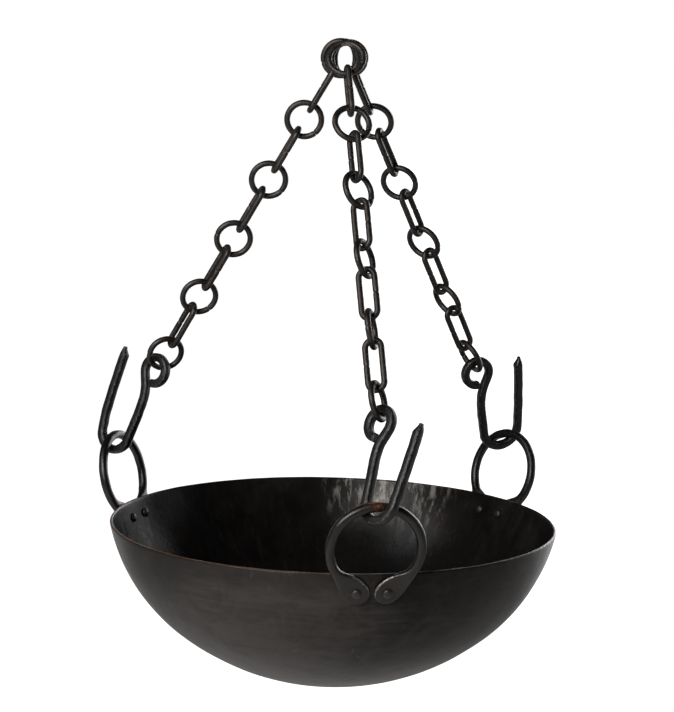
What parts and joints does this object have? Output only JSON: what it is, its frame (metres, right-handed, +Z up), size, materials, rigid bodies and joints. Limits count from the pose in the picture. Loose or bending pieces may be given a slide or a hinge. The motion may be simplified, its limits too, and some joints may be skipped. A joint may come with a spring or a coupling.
{
  "type": "hanging iron bowl",
  "caption": "Round-bottomed sheet iron bowl hanging by riveted ring handles from open forged hooks on ring-and-link chains that meet at one hang point.",
  "frame": {"origin": "the hang point, on the axis of the support bar that passes through the four top rings along Y", "axes": "+Z up through the hang point, -Y towards the front handle, +X to the right seen from the front"},
  "size_m": [0.4744, 0.4847, 0.6455],
  "materials": {
    "bowl_iron": "oiled black iron sheet",
    "handle_iron": "forged black iron, worn edges",
    "rivet_iron": "brown hammered iron",
    "hook_iron": "matt forge black",
    "chain_iron": "dark brown oxide"
  },
  "bodies": {
    "hanging_ring": {"hanging_ring": "chain_iron"},
    "suspension": {"end_ring_front": "chain_iron", "end_ring_right": "chain_iron", "end_ring_left": "chain_iron"},
    "link_front_1": {"link_front_1": "chain_iron"},
    "ring_front_1": {"ring_front_1": "chain_iron"},
    "link_front_2": {"link_front_2": "chain_iron"},
    "ring_front_2": {"ring_front_2": "chain_iron"},
    "link_front_3": {"link_front_3": "chain_iron"},
    "ring_front_3": {"ring_front_3": "chain_iron"},
    "link_front_4": {"link_front_4": "chain_iron"},
    "ring_front_4": {"ring_front_4": "chain_iron"},
    "link_front_5": {"link_front_5": "chain_iron"},
    "ring_front_5": {"ring_front_5": "chain_iron"},
    "hook_front": {"hook_front": "hook_iron"},
    "link_right_1": {"link_right_1": "chain_iron"},
    "ring_right_1": {"ring_right_1": "chain_iron"},
    "link_right_2": {"link_right_2": "chain_iron"},
    "ring_right_2": {"ring_right_2": "chain_iron"},
    "link_right_3": {"link_right_3": "chain_iron"},
    "ring_right_3": {"ring_right_3": "chain_iron"},
    "link_right_4": {"link_right_4": "chain_iron"},
    "ring_right_4": {"ring_right_4": "chain_iron"},
    "link_right_5": {"link_right_5": "chain_iron"},
    "ring_right_5": {"ring_right_5": "chain_iron"},
    "hook_right": {"hook_right": "hook_iron"},
    "link_left_1": {"link_left_1": "chain_iron"},
    "ring_left_1": {"ring_left_1": "chain_iron"},
    "link_left_2": {"link_left_2": "chain_iron"},
    "ring_left_2": {"ring_left_2": "chain_iron"},
    "link_left_3": {"link_left_3": "chain_iron"},
    "ring_left_3": {"ring_left_3": "chain_iron"},
    "link_left_4": {"link_left_4": "chain_iron"},
    "ring_left_4": {"ring_left_4": "chain_iron"},
    "link_left_5": {"link_left_5": "chain_iron"},
    "ring_left_5": {"ring_left_5": "chain_iron"},
    "hook_left": {"hook_left": "hook_iron"},
    "bowl": {"bowl": "bowl_iron", "handle_front": "handle_iron", "handle_right": "handle_iron", "handle_left": "handle_iron", "rivet_front_left": "rivet_iron", "rivet_front_right": "rivet_iron", "rivet_right_left": "rivet_iron", "rivet_right_right": "rivet_iron", "rivet_left_left": "rivet_iron", "rivet_left_right": "rivet_iron"}
  },
  "joints": [
    {"name": "bowl_swing", "type": "hinge", "parent": "hanging_ring", "child": "suspension", "pos_m": [0, 0, 0], "axis": [0, 1, 0], "range_deg": [-12, 12]},
    {"name": "link_front_1_twist", "type": "hinge", "parent": "suspension", "child": "link_front_1", "pos_m": [0.00466, -0.03375, -0.03882], "axis": [-0.1047, 0.4775, 0.8724], "range_deg": [-8, 8]},
    {"name": "ring_front_1_twist", "type": "hinge", "parent": "suspension", "child": "ring_front_1", "pos_m": [0.00838, -0.0507, -0.06979], "axis": [-0.1047, 0.4775, 0.8724], "range_deg": [-8, 8]},
    {"name": "link_front_2_twist", "type": "hinge", "parent": "suspension", "child": "link_front_2", "pos_m": [0.01209, -0.06764, -0.10076], "axis": [-0.1047, 0.4775, 0.8724], "range_deg": [-8, 8]},
    {"name": "ring_front_2_twist", "type": "hinge", "parent": "suspension", "child": "ring_front_2", "pos_m": [0.01581, -0.0846, -0.13173], "axis": [-0.1047, 0.4775, 0.8724], "range_deg": [-8, 8]},
    {"name": "link_front_3_twist", "type": "hinge", "parent": "suspension", "child": "link_front_3", "pos_m": [0.01953, -0.10154, -0.1627], "axis": [-0.1047, 0.4775, 0.8724], "range_deg": [-8, 8]},
    {"name": "ring_front_3_twist", "type": "hinge", "parent": "suspension", "child": "ring_front_3", "pos_m": [0.02324, -0.11849, -0.19367], "axis": [-0.1047, 0.4775, 0.8724], "range_deg": [-8, 8]},
    {"name": "link_front_4_twist", "type": "hinge", "parent": "suspension", "child": "link_front_4", "pos_m": [0.02696, -0.13544, -0.22464], "axis": [-0.1047, 0.4775, 0.8724], "range_deg": [-8, 8]},
    {"name": "ring_front_4_twist", "type": "hinge", "parent": "suspension", "child": "ring_front_4", "pos_m": [0.03068, -0.15239, -0.25561], "axis": [-0.1047, 0.4775, 0.8724], "range_deg": [-8, 8]},
    {"name": "link_front_5_twist", "type": "hinge", "parent": "suspension", "child": "link_front_5", "pos_m": [0.03439, -0.16934, -0.28658], "axis": [-0.1047, 0.4775, 0.8724], "range_deg": [-8, 8]},
    {"name": "ring_front_5_twist", "type": "hinge", "parent": "suspension", "child": "ring_front_5", "pos_m": [0.03811, -0.18629, -0.31755], "axis": [-0.1047, 0.4775, 0.8724], "range_deg": [-8, 8]},
    {"name": "hook_front_twist", "type": "hinge", "parent": "suspension", "child": "hook_front", "pos_m": [0.04038, -0.19665, -0.33648], "axis": [-0.0036, 0.5678, 0.8231], "range_deg": [-10, 0]},
    {"name": "link_right_1_twist", "type": "hinge", "parent": "suspension", "child": "link_right_1", "pos_m": [0.01725, 0.02726, -0.03865], "axis": [-0.3876, -0.3091, 0.8685], "range_deg": [-8, 8]},
    {"name": "ring_right_1_twist", "type": "hinge", "parent": "suspension", "child": "ring_right_1", "pos_m": [0.03101, 0.03823, -0.06948], "axis": [-0.3876, -0.3091, 0.8685], "range_deg": [-8, 8]},
    {"name": "link_right_2_twist", "type": "hinge", "parent": "suspension", "child": "link_right_2", "pos_m": [0.04477, 0.0492, -0.10031], "axis": [-0.3876, -0.3091, 0.8685], "range_deg": [-8, 8]},
    {"name": "ring_right_2_twist", "type": "hinge", "parent": "suspension", "child": "ring_right_2", "pos_m": [0.05853, 0.06017, -0.13114], "axis": [-0.3876, -0.3091, 0.8685], "range_deg": [-8, 8]},
    {"name": "link_right_3_twist", "type": "hinge", "parent": "suspension", "child": "link_right_3", "pos_m": [0.07229, 0.07114, -0.16197], "axis": [-0.3876, -0.3091, 0.8685], "range_deg": [-8, 8]},
    {"name": "ring_right_3_twist", "type": "hinge", "parent": "suspension", "child": "ring_right_3", "pos_m": [0.08605, 0.08212, -0.1928], "axis": [-0.3876, -0.3091, 0.8685], "range_deg": [-8, 8]},
    {"name": "link_right_4_twist", "type": "hinge", "parent": "suspension", "child": "link_right_4", "pos_m": [0.09981, 0.09309, -0.22363], "axis": [-0.3876, -0.3091, 0.8685], "range_deg": [-8, 8]},
    {"name": "ring_right_4_twist", "type": "hinge", "parent": "suspension", "child": "ring_right_4", "pos_m": [0.11357, 0.10406, -0.25446], "axis": [-0.3876, -0.3091, 0.8685], "range_deg": [-8, 8]},
    {"name": "link_right_5_twist", "type": "hinge", "parent": "suspension", "child": "link_right_5", "pos_m": [0.12733, 0.11504, -0.28529], "axis": [-0.3876, -0.3091, 0.8685], "range_deg": [-8, 8]},
    {"name": "ring_right_5_twist", "type": "hinge", "parent": "suspension", "child": "ring_right_5", "pos_m": [0.14109, 0.12601, -0.31612], "axis": [-0.3876, -0.3091, 0.8685], "range_deg": [-8, 8]},
    {"name": "hook_right_twist", "type": "hinge", "parent": "suspension", "child": "hook_right", "pos_m": [0.1495, 0.13272, -0.33497], "axis": [-0.4147, -0.3679, 0.8322], "range_deg": [0, 10]},
    {"name": "link_left_1_twist", "type": "hinge", "parent": "suspension", "child": "link_left_1", "pos_m": [-0.02163, 0.00631, -0.0382], "axis": [0.4861, -0.1643, 0.8583], "range_deg": [-8, 8]},
    {"name": "ring_left_1_twist", "type": "hinge", "parent": "suspension", "child": "ring_left_1", "pos_m": [-0.03889, 0.01214, -0.06867], "axis": [0.4861, -0.1643, 0.8583], "range_deg": [-8, 8]},
    {"name": "link_left_2_twist", "type": "hinge", "parent": "suspension", "child": "link_left_2", "pos_m": [-0.05614, 0.01797, -0.09914], "axis": [0.4861, -0.1643, 0.8583], "range_deg": [-8, 8]},
    {"name": "ring_left_2_twist", "type": "hinge", "parent": "suspension", "child": "ring_left_2", "pos_m": [-0.0734, 0.0238, -0.12961], "axis": [0.4861, -0.1643, 0.8583], "range_deg": [-8, 8]},
    {"name": "link_left_3_twist", "type": "hinge", "parent": "suspension", "child": "link_left_3", "pos_m": [-0.09066, 0.02964, -0.16008], "axis": [0.4861, -0.1643, 0.8583], "range_deg": [-8, 8]},
    {"name": "ring_left_3_twist", "type": "hinge", "parent": "suspension", "child": "ring_left_3", "pos_m": [-0.10791, 0.03547, -0.19055], "axis": [0.4861, -0.1643, 0.8583], "range_deg": [-8, 8]},
    {"name": "link_left_4_twist", "type": "hinge", "parent": "suspension", "child": "link_left_4", "pos_m": [-0.12517, 0.0413, -0.22102], "axis": [0.4861, -0.1643, 0.8583], "range_deg": [-8, 8]},
    {"name": "ring_left_4_twist", "type": "hinge", "parent": "suspension", "child": "ring_left_4", "pos_m": [-0.14242, 0.04713, -0.25149], "axis": [0.4861, -0.1643, 0.8583], "range_deg": [-8, 8]},
    {"name": "link_left_5_twist", "type": "hinge", "parent": "suspension", "child": "link_left_5", "pos_m": [-0.15968, 0.05296, -0.28196], "axis": [0.4861, -0.1643, 0.8583], "range_deg": [-8, 8]},
    {"name": "ring_left_5_twist", "type": "hinge", "parent": "suspension", "child": "ring_left_5", "pos_m": [-0.17694, 0.05879, -0.31243], "axis": [0.4861, -0.1643, 0.8583], "range_deg": [-8, 8]},
    {"name": "hook_left_twist", "type": "hinge", "parent": "suspension", "child": "hook_left", "pos_m": [-0.18749, 0.06236, -0.33106], "axis": [0.5214, -0.1859, 0.8329], "range_deg": [0, 10]},
    {"name": "bowl_lift", "type": "slide", "parent": "suspension", "child": "bowl", "axis": [0, 0, 1], "range_m": [0, 0.01]}
  ]
}
